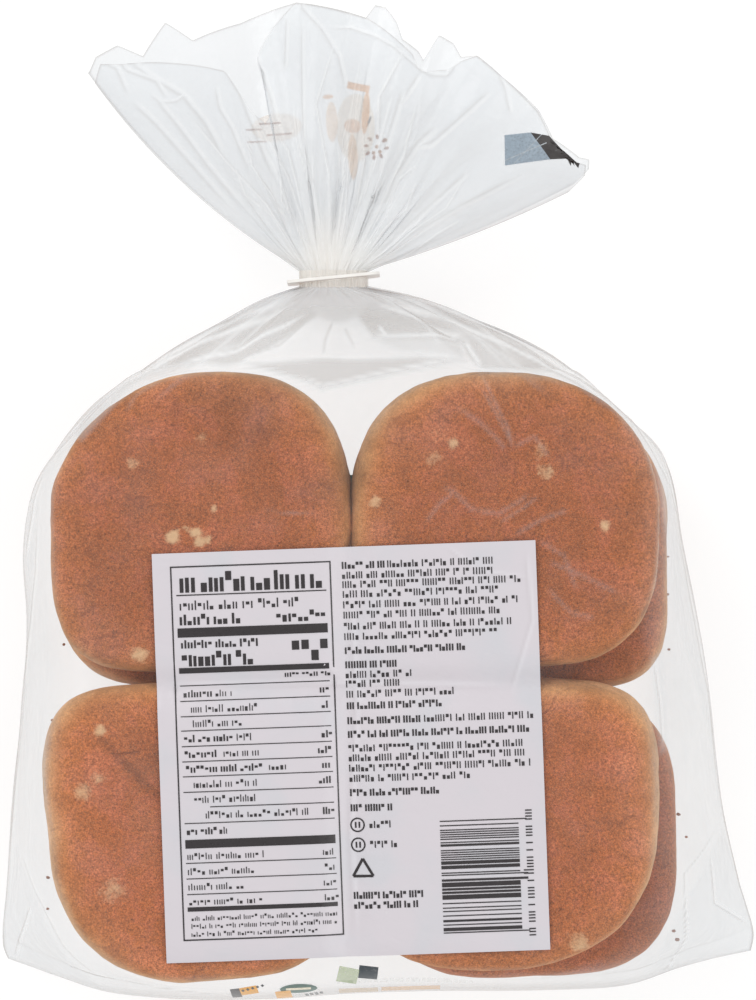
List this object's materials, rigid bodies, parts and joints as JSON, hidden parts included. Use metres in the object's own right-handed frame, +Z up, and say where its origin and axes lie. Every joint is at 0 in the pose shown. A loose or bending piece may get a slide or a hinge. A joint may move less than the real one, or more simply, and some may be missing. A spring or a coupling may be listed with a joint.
{
  "type": "bag of hamburger buns",
  "caption": "Clear film bag of hamburger buns lying on its front, gathered to a neck with a flat plastic clip and a pleated ruff beyond it.",
  "frame": {"origin": "on the floor, under the middle of the whole pack", "axes": "+X to the right as seen from above with the ruff away from the viewer, +Y along the bag towards the ruff, +Z up"},
  "size_m": [0.2378, 0.3134, 0.077],
  "materials": {
    "clear_film": "thin clear polyethylene, in the colour of the buns that show through it",
    "bun_crust": "soft baked crust, matt",
    "white_print": "white and dark ink on the film, satin",
    "clip_plastic": "thin moulded plastic, satin"
  },
  "bodies": {
    "root": {"bag_of_buns": "clear_film", "neck_clip": "clip_plastic"}
  },
  "joints": []
}
